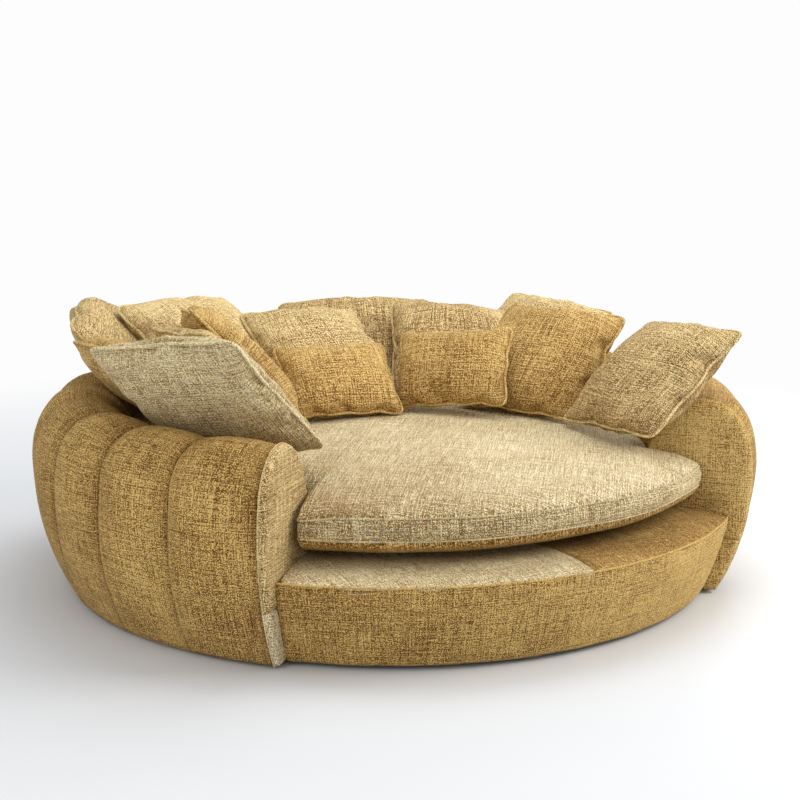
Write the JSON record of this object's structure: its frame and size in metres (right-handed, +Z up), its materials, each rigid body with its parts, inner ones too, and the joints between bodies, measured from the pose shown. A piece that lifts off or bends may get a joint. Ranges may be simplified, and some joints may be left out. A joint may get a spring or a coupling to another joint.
{
  "type": "cuddle chair",
  "caption": "Very wide round upholstered lounge armchair: a horseshoe shell of soft vertical channels around one loose round seat cushion, piled with loose scatter pillows.",
  "frame": {"origin": "on the floor, under the middle of the whole chair's bounding box", "axes": "+Z up, -Y the way a sitter faces, +X to the right of someone looking at the chair from the front"},
  "size_m": [2.1934, 2.1353, 0.8618],
  "materials": {
    "chenille": "slubby woven chenille, matt with a nap",
    "plywood": "plain sawn birch plywood",
    "facing_board": "thin brown fibreboard",
    "webbing": "woven elastic strap",
    "lining": "black non-woven dust cover",
    "glide": "matt black"
  },
  "bodies": {
    "shell": {"arm_board_left": "plywood", "arm_board_right": "plywood", "arm_panel_left": "chenille", "arm_panel_right": "chenille", "arm_strip_left": "chenille", "arm_strip_right": "chenille", "base_ring": "plywood", "channel_01": "chenille", "channel_02": "chenille", "channel_03": "chenille", "channel_04": "chenille", "channel_05": "chenille", "channel_06": "chenille", "channel_07": "chenille", "channel_08": "chenille", "channel_09": "chenille", "channel_10": "chenille", "channel_11": "chenille", "channel_12": "chenille", "channel_13": "chenille", "channel_14": "chenille", "channel_15": "chenille", "channel_16": "chenille", "channel_17": "chenille", "channel_18": "chenille", "channel_19": "chenille", "deck_pad_left": "chenille", "deck_pad_right": "chenille", "dust_cover": "lining", "frame_ribs": "plywood", "front_board": "facing_board", "front_border": "chenille", "glide_1": "glide", "glide_2": "glide", "glide_3": "glide", "glide_4": "glide", "glide_5": "glide", "glide_6": "glide", "glide_7": "glide", "inner_facing": "facing_board", "outer_facing": "facing_board", "seat_ring": "plywood", "top_rail": "plywood", "webbing_cross": "webbing", "webbing_long": "webbing"},
    "seat_cushion": {"seat_cushion": "chenille"},
    "pillow_a_front_left": {"pillow_a_front_left": "chenille"},
    "pillow_b_left": {"pillow_b_left": "chenille"},
    "pillow_c_left_rear": {"pillow_c_left_rear": "chenille"},
    "pillow_d_rear_left": {"pillow_d_rear_left": "chenille"},
    "pillow_e_small_left": {"pillow_e_small_left": "chenille"},
    "pillow_f_inner_left": {"pillow_f_inner_left": "chenille"},
    "pillow_g_rear_middle": {"pillow_g_rear_middle": "chenille"},
    "pillow_h_lumbar_left": {"pillow_h_lumbar_left": "chenille"},
    "pillow_i_rear_wide": {"pillow_i_rear_wide": "chenille"},
    "pillow_j_rear_right": {"pillow_j_rear_right": "chenille"},
    "pillow_k_lumbar_right": {"pillow_k_lumbar_right": "chenille"},
    "pillow_l_right": {"pillow_l_right": "chenille"},
    "pillow_m_right_rear": {"pillow_m_right_rear": "chenille"},
    "pillow_n_front_right": {"pillow_n_front_right": "chenille"}
  },
  "joints": [
    {"name": "seat_cushion_lift", "type": "slide", "parent": "shell", "child": "seat_cushion", "axis": [0, 0, 1], "range_m": [0, 0.36]},
    {"name": "pillow_a_front_left_lift", "type": "slide", "parent": "seat_cushion", "child": "pillow_a_front_left", "axis": [-0.604, -0.2198, 0.766], "range_m": [0, 0.3]},
    {"name": "pillow_b_left_lift", "type": "slide", "parent": "seat_cushion", "child": "pillow_b_left", "axis": [-0.7189, 0.0251, 0.6947], "range_m": [0, 0.3]},
    {"name": "pillow_c_left_rear_lift", "type": "slide", "parent": "seat_cushion", "child": "pillow_c_left_rear", "axis": [-0.5413, 0.3933, 0.7431], "range_m": [0, 0.3]},
    {"name": "pillow_d_rear_left_lift", "type": "slide", "parent": "seat_cushion", "child": "pillow_d_rear_left", "axis": [-0.1422, 0.8067, 0.5736], "range_m": [0, 0.3]},
    {"name": "pillow_e_small_left_lift", "type": "slide", "parent": "seat_cushion", "child": "pillow_e_small_left", "axis": [-0.5, 0, 0.866], "range_m": [0, 0.3]},
    {"name": "pillow_f_inner_left_lift", "type": "slide", "parent": "seat_cushion", "child": "pillow_f_inner_left", "axis": [-0.1378, 0.2387, 0.9613], "range_m": [0, 0.3]},
    {"name": "pillow_g_rear_middle_lift", "type": "slide", "parent": "seat_cushion", "child": "pillow_g_rear_middle", "axis": [0, 0.7431, 0.6691], "range_m": [0, 0.3]},
    {"name": "pillow_h_lumbar_left_lift", "type": "slide", "parent": "seat_cushion", "child": "pillow_h_lumbar_left", "axis": [0.0323, -0.0994, 0.9945], "range_m": [0, 0.3]},
    {"name": "pillow_i_rear_wide_lift", "type": "slide", "parent": "seat_cushion", "child": "pillow_i_rear_wide", "axis": [0.3716, 0.6436, 0.6691], "range_m": [0, 0.3]},
    {"name": "pillow_j_rear_right_lift", "type": "slide", "parent": "seat_cushion", "child": "pillow_j_rear_right", "axis": [0.265, 0.4589, 0.848], "range_m": [0, 0.3]},
    {"name": "pillow_k_lumbar_right_lift", "type": "slide", "parent": "seat_cushion", "child": "pillow_k_lumbar_right", "axis": [0, 0, 1], "range_m": [0, 0.3]},
    {"name": "pillow_l_right_lift", "type": "slide", "parent": "seat_cushion", "child": "pillow_l_right", "axis": [0.4924, 0.4132, 0.766], "range_m": [0, 0.3]},
    {"name": "pillow_m_right_rear_lift", "type": "slide", "parent": "seat_cushion", "child": "pillow_m_right_rear", "axis": [0.7431, 0, 0.6691], "range_m": [0, 0.3]},
    {"name": "pillow_n_front_right_lift", "type": "slide", "parent": "seat_cushion", "child": "pillow_n_front_right", "axis": [0, 0, 1], "range_m": [0, 0.3]}
  ]
}
